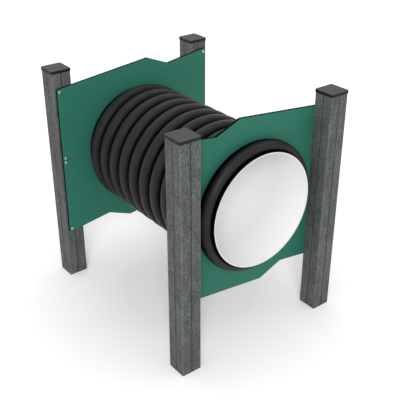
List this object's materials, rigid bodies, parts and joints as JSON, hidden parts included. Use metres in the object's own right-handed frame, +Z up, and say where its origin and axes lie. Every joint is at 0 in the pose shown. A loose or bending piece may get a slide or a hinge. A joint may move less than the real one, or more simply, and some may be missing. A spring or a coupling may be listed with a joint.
{
  "type": "play tunnel",
  "caption": "Crawl tunnel for a playground: a ring-ribbed pipe with a smooth pale bore, held between two board walls on square posts.",
  "frame": {"origin": "on the ground, under the middle of the tunnel", "axes": "+Z up, +Y along the tunnel from its front mouth to its rear mouth, +X to the right as seen from the front"},
  "size_m": [0.929, 1.1286, 1.1493],
  "materials": {
    "post_composite": "speckled grey recycled plastic with a fine upright grain",
    "cap_plastic": "dark grey moulded plastic, satin",
    "board_laminate": "smooth green compact laminate with a black core at its edges",
    "pipe_plastic": "soft black polyethylene",
    "liner_plastic": "smooth white polyethylene",
    "bolt_steel": "plain stainless steel"
  },
  "bodies": {
    "root": {"pipe_ribbed_wall": "pipe_plastic", "pipe_inner_wall": "liner_plastic", "board_front_upper": "board_laminate", "board_front_lower": "board_laminate", "board_rear_upper": "board_laminate", "board_rear_lower": "board_laminate", "post_front_left": "post_composite", "post_front_right": "post_composite", "post_rear_left": "post_composite", "post_rear_right": "post_composite", "cap_front_left": "cap_plastic", "cap_front_right": "cap_plastic", "cap_rear_left": "cap_plastic", "cap_rear_right": "cap_plastic", "bolt_front_left_top": "bolt_steel", "bolt_front_left_above_seam": "bolt_steel", "bolt_front_left_below_seam": "bolt_steel", "bolt_front_left_bottom": "bolt_steel", "bolt_front_right_top": "bolt_steel", "bolt_front_right_above_seam": "bolt_steel", "bolt_front_right_below_seam": "bolt_steel", "bolt_front_right_bottom": "bolt_steel", "bolt_rear_left_top": "bolt_steel", "bolt_rear_left_above_seam": "bolt_steel", "bolt_rear_left_below_seam": "bolt_steel", "bolt_rear_left_bottom": "bolt_steel", "bolt_rear_right_top": "bolt_steel", "bolt_rear_right_above_seam": "bolt_steel", "bolt_rear_right_below_seam": "bolt_steel", "bolt_rear_right_bottom": "bolt_steel", "insert_front_left_top": "bolt_steel", "insert_front_left_above_seam": "bolt_steel", "insert_front_left_below_seam": "bolt_steel", "insert_front_left_bottom": "bolt_steel", "insert_front_right_top": "bolt_steel", "insert_front_right_above_seam": "bolt_steel", "insert_front_right_below_seam": "bolt_steel", "insert_front_right_bottom": "bolt_steel", "insert_rear_left_top": "bolt_steel", "insert_rear_left_above_seam": "bolt_steel", "insert_rear_left_below_seam": "bolt_steel", "insert_rear_left_bottom": "bolt_steel", "insert_rear_right_top": "bolt_steel", "insert_rear_right_above_seam": "bolt_steel", "insert_rear_right_below_seam": "bolt_steel", "insert_rear_right_bottom": "bolt_steel"}
  },
  "joints": []
}
